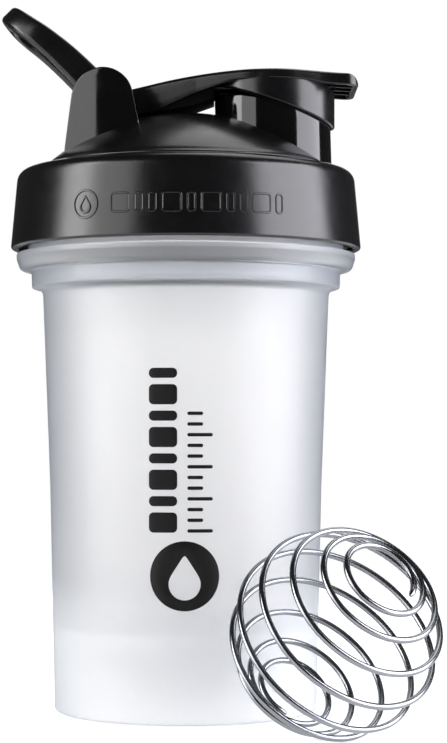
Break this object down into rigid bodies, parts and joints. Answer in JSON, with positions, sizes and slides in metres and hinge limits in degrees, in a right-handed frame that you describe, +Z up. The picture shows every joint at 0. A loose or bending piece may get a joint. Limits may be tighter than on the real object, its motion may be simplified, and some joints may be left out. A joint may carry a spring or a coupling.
{
  "type": "shaker bottle",
  "caption": "Clear tapered shaker bottle with a black screw lid, flip cap over the spout, folding carry loop and a loose wire whisk ball beside it.",
  "frame": {"origin": "centre of the bottle's foot, on the plane it stands on", "axes": "+Z up along the bottle's axis, +X towards the spout, -Y towards the printed side and the whisk ball"},
  "size_m": [0.1148, 0.1351, 0.1926],
  "materials": {
    "clear_plastic": "frosted clear",
    "black_plastic": "satin",
    "seal_rubber": "matte",
    "steel_pin": "turned",
    "steel_wire": "polished"
  },
  "bodies": {
    "bottle": {"bottle_body": "clear_plastic"},
    "seal": {"lid_seal": "seal_rubber"},
    "lid": {"lid_shell": "black_plastic", "hinge_pin": "steel_pin"},
    "cap": {"flip_cap": "black_plastic", "spout_plug": "seal_rubber"},
    "loop": {"carry_loop": "black_plastic"},
    "ball": {"whisk_ball": "steel_wire"}
  },
  "joints": [
    {"name": "lid_rise", "type": "slide", "parent": "bottle", "child": "seal", "axis": [0, 0, 1], "range_m": [0, 0.0075]},
    {"name": "lid_turn", "type": "hinge", "parent": "seal", "child": "lid", "pos_m": [0, 0, 0], "axis": [0, 0, 1], "range_deg": [0, 450]},
    {"name": "cap_hinge", "type": "hinge", "parent": "lid", "child": "cap", "pos_m": [-0.0222, 0, 0.1648], "axis": [0, -1, 0], "range_deg": [0, 90]},
    {"name": "loop_hinge", "type": "hinge", "parent": "lid", "child": "loop", "pos_m": [-0.0222, 0, 0.1648], "axis": [0, -1, 0], "range_deg": [0, 75]},
    {"name": "ball_lift", "type": "slide", "parent": "bottle", "child": "ball", "axis": [0, 0, 1], "range_m": [0, 0.06]}
  ],
  "couplings": [
    {"joint": "lid_rise", "follows": "lid_turn", "m_per_rad": 0.00095493}
  ]
}
